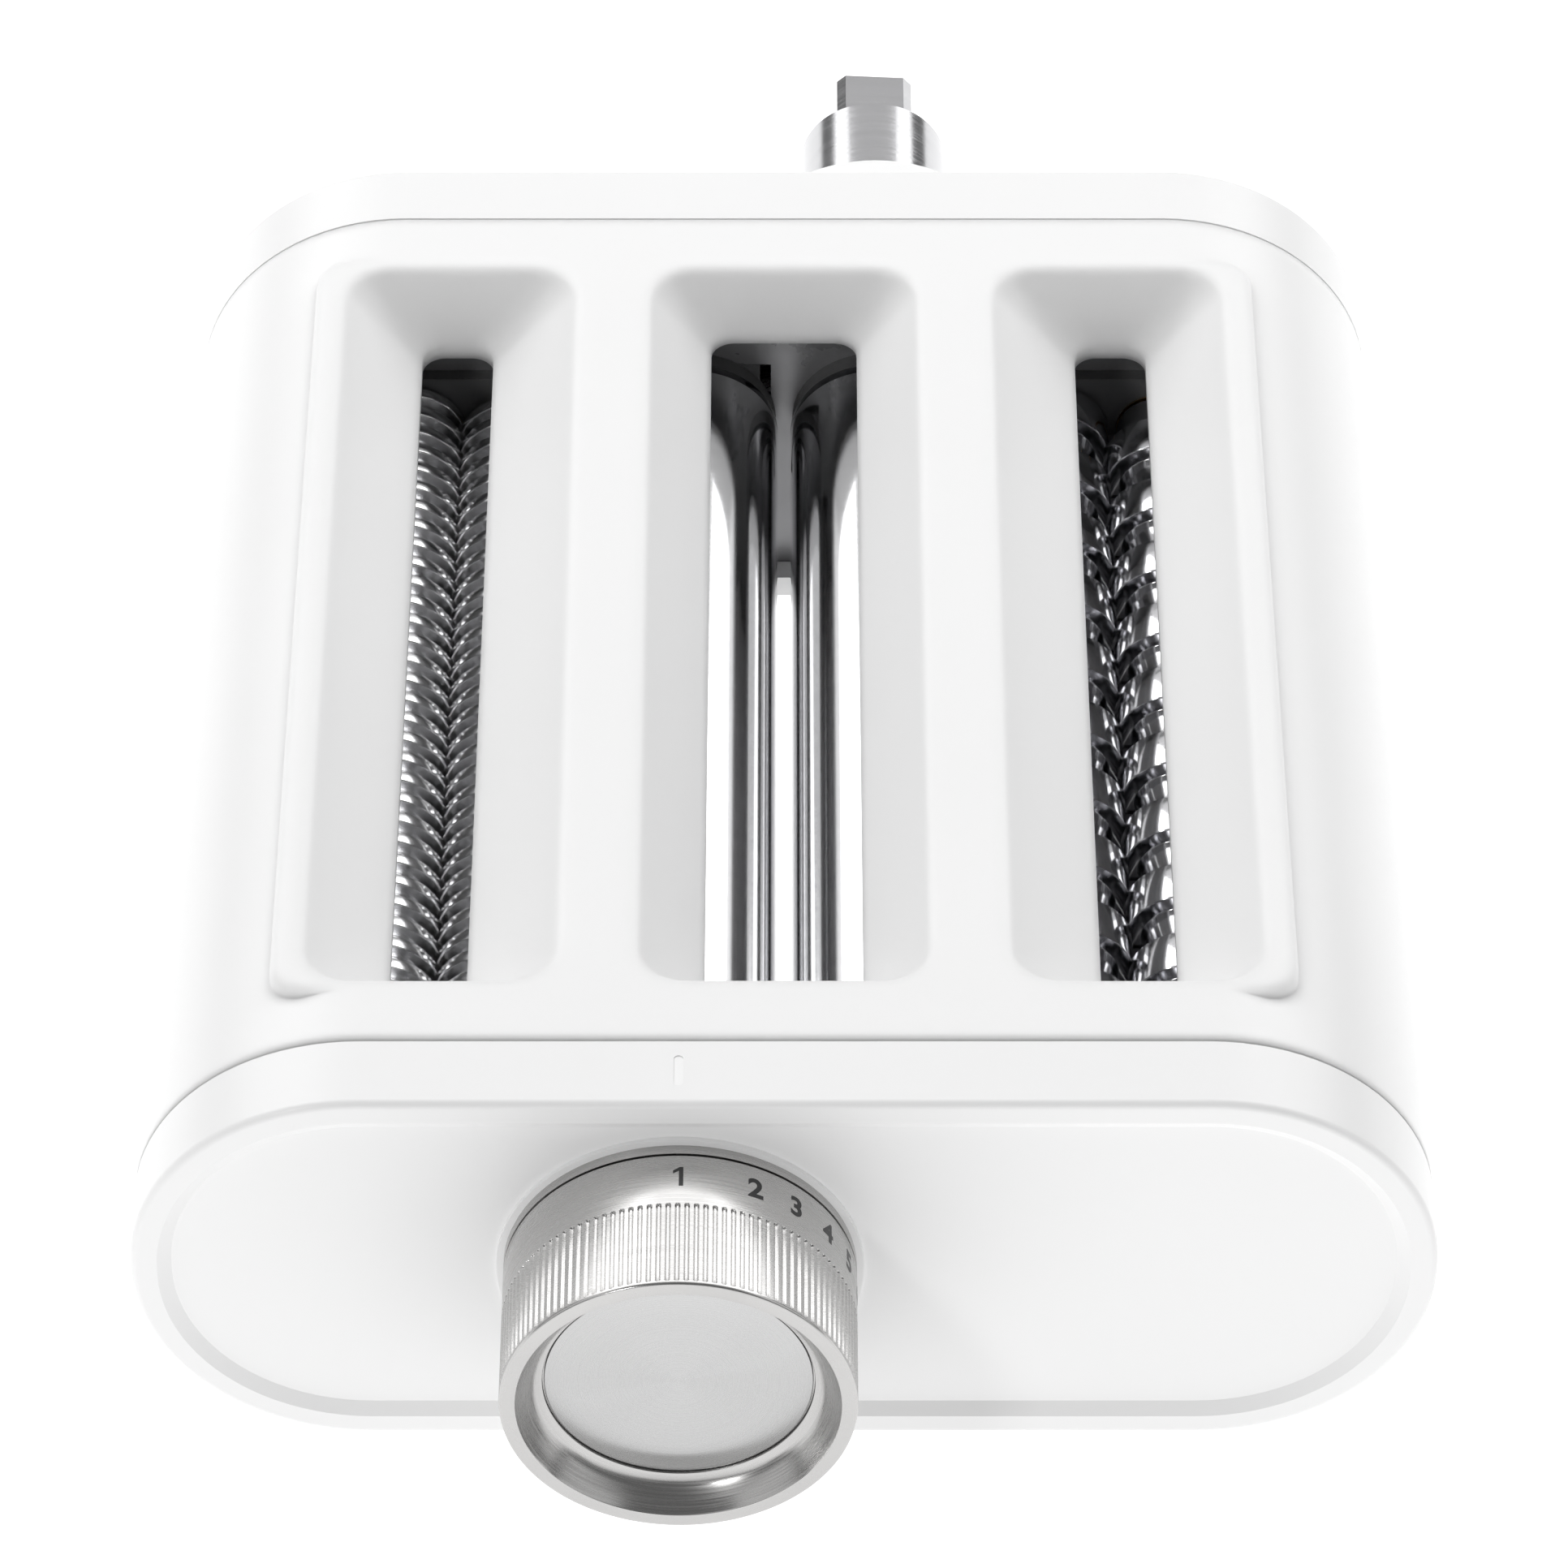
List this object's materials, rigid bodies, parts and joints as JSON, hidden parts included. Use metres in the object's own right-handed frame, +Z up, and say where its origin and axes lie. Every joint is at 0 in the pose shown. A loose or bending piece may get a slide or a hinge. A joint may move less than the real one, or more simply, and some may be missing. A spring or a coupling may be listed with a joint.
{
  "type": "pasta roller and cutter attachment",
  "caption": "Stand mixer pasta attachment: adjustable smooth sheet rollers between fine and wide cutter rollers under funnel wells, thickness dial, round shank and square drive tang.",
  "frame": {"origin": "under the middle of the whole object, on the plane the lower shell stands on", "axes": "+X to the right seen from the knob, +Y from the knob to the drive tang, +Z up out of the wells"},
  "size_m": [0.17, 0.268, 0.0625],
  "materials": {
    "shell_white": "satin",
    "plate_steel": "glossy",
    "roller_steel": "polished",
    "cutter_steel": "polished",
    "wide_steel": "polished",
    "dark_plastic": "matte",
    "comb_plastic": "matte",
    "knob_metal": "satin",
    "disc_metal": "turned",
    "shank_steel": "polished",
    "gear_steel": "machined",
    "bush_bronze": "machined",
    "screw_steel": "machined",
    "seal_rubber": "matte",
    "mark_grey": "matte",
    "spring_steel": "bright"
  },
  "bodies": {
    "housing": {"upper_shell": "shell_white", "lower_shell": "shell_white", "front_cover": "shell_white", "rear_cover": "shell_white", "index_mark": "mark_grey", "front_plate": "plate_steel", "rear_plate": "plate_steel", "spacer_tubes": "gear_steel", "assembly_screws": "screw_steel", "right_bearing_housings": "dark_plastic", "right_roller_bushes": "bush_bronze", "cutter_bushes": "bush_bronze", "fine_end_blocks": "dark_plastic", "wide_end_blocks": "dark_plastic", "fine_combs": "comb_plastic", "wide_combs": "comb_plastic", "scraper_bar": "gear_steel", "right_scraper": "comb_plastic", "idler_stud": "gear_steel", "idler_clip": "spring_steel", "detent_leaf": "spring_steel", "spindle_bush": "bush_bronze", "knob_bezel": "knob_metal", "hub_sleeve": "shank_steel", "hub_bush": "bush_bronze", "shaft_seal": "seal_rubber"},
    "drive": {"drive_shaft": "shank_steel", "right_roller": "roller_steel", "right_roller_gear": "gear_steel", "cutter_drive_gear": "gear_steel"},
    "carriage": {"front_slide_block": "dark_plastic", "rear_slide_block": "dark_plastic", "left_roller_bushes": "bush_bronze", "carriage_rods": "gear_steel", "follower_pin": "gear_steel", "left_scraper": "comb_plastic"},
    "left_roll": {"left_roller": "roller_steel", "left_roller_shaft": "gear_steel", "left_roller_gear": "gear_steel"},
    "fine_outer": {"fine_cutter_outer": "cutter_steel", "fine_gear_outer": "gear_steel"},
    "fine_inner": {"fine_cutter_inner": "cutter_steel", "fine_gear_inner": "gear_steel"},
    "wide_outer": {"wide_cutter_outer": "wide_steel", "wide_gear_outer": "gear_steel"},
    "wide_inner": {"wide_cutter_inner": "wide_steel", "wide_gear_inner": "gear_steel"},
    "idler": {"idler_gear": "gear_steel"},
    "adjuster": {"knob_spindle": "gear_steel", "scroll_cam": "gear_steel", "knob_retainer": "screw_steel", "knob_spring": "spring_steel"},
    "knob": {"knob_body": "knob_metal", "knob_face_disc": "disc_metal"}
  },
  "joints": [
    {"name": "drive_spin", "type": "hinge", "parent": "housing", "child": "drive", "pos_m": [0.0135, 0, 0.0315], "axis": [0, 1, 0], "continuous": true},
    {"name": "roller_gap_slide", "type": "slide", "parent": "housing", "child": "carriage", "axis": [1, 0, 0], "range_m": [0, 0.0015]},
    {"name": "left_roller_spin", "type": "hinge", "parent": "carriage", "child": "left_roll", "pos_m": [-0.0135, 0, 0.0315], "axis": [0, 1, 0], "continuous": true},
    {"name": "fine_outer_spin", "type": "hinge", "parent": "housing", "child": "fine_outer", "pos_m": [-0.05448, 0, 0.0315], "axis": [0, 1, 0], "continuous": true},
    {"name": "fine_inner_spin", "type": "hinge", "parent": "housing", "child": "fine_inner", "pos_m": [-0.03912, 0, 0.0315], "axis": [0, 1, 0], "continuous": true},
    {"name": "wide_outer_spin", "type": "hinge", "parent": "housing", "child": "wide_outer", "pos_m": [0.05448, 0, 0.0315], "axis": [0, 1, 0], "continuous": true},
    {"name": "wide_inner_spin", "type": "hinge", "parent": "housing", "child": "wide_inner", "pos_m": [0.03912, 0, 0.0315], "axis": [0, 1, 0], "continuous": true},
    {"name": "idler_spin", "type": "hinge", "parent": "housing", "child": "idler", "pos_m": [-0.01804, 0, 0.0369], "axis": [0, 1, 0], "continuous": true},
    {"name": "knob_turn", "type": "hinge", "parent": "housing", "child": "adjuster", "pos_m": [-0.0135, 0, 0.0315], "axis": [0, -1, 0], "range_deg": [0, 118.5]},
    {"name": "knob_pull", "type": "slide", "parent": "adjuster", "child": "knob", "axis": [0, -1, 0], "range_m": [0, 0.003], "stiffness_N_per_m": 400, "springref_m": -0.004, "deforming": ["knob_spring"]}
  ],
  "couplings": [
    {"joint": "left_roller_spin", "follows": "drive_spin", "ratio": -1},
    {"joint": "wide_inner_spin", "follows": "drive_spin", "ratio": -2.3333},
    {"joint": "wide_outer_spin", "follows": "drive_spin", "ratio": 2.3333},
    {"joint": "idler_spin", "follows": "drive_spin", "ratio": -1.2727},
    {"joint": "fine_inner_spin", "follows": "drive_spin", "ratio": 2.3333},
    {"joint": "fine_outer_spin", "follows": "drive_spin", "ratio": -2.3333},
    {"joint": "knob_turn", "follows": "roller_gap_slide", "rad_per_m": 1378.8}
  ]
}
